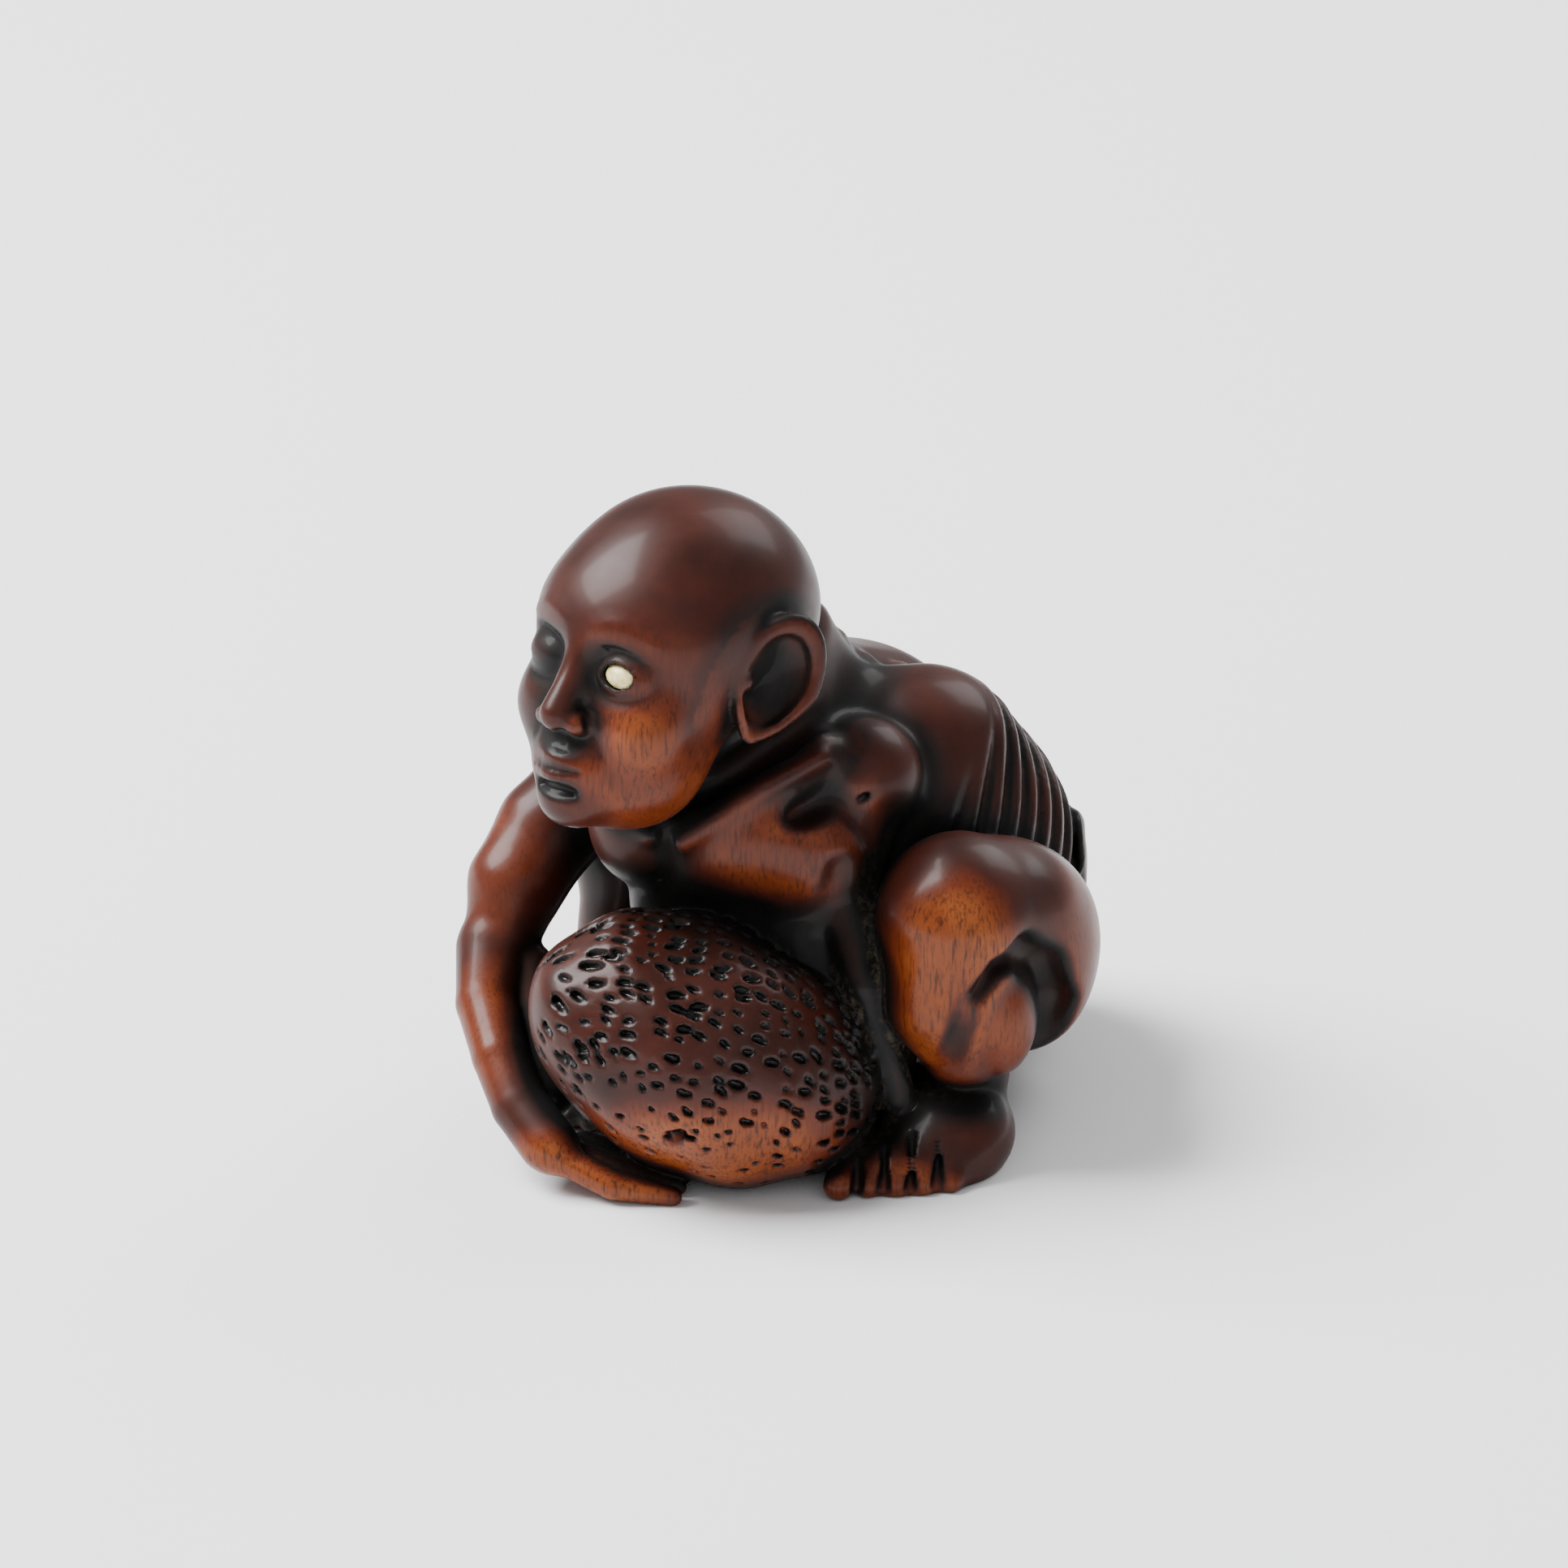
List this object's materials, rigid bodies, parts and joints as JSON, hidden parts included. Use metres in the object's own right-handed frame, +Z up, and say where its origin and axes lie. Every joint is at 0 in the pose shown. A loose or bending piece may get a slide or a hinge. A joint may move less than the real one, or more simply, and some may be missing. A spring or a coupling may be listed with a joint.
{
  "type": "netsuke",
  "caption": "Carved boxwood netsuke of a bald squatting figure hugging a pitted boulder, with a pale inlaid eye and an arm gap for a cord.",
  "frame": {"origin": "middle of the underside, in the plane that the carving stands on", "axes": "+Z up, -Y towards the front view, +X towards the figure's left leg"},
  "size_m": [0.0318, 0.0312, 0.0334],
  "materials": {
    "boxwood": "dark red-brown stain, rubbed to a satin gloss, lighter where worn",
    "bone": "polished pale cream"
  },
  "bodies": {
    "root": {"carving": "boxwood", "eye_inlay": "bone"}
  },
  "joints": []
}
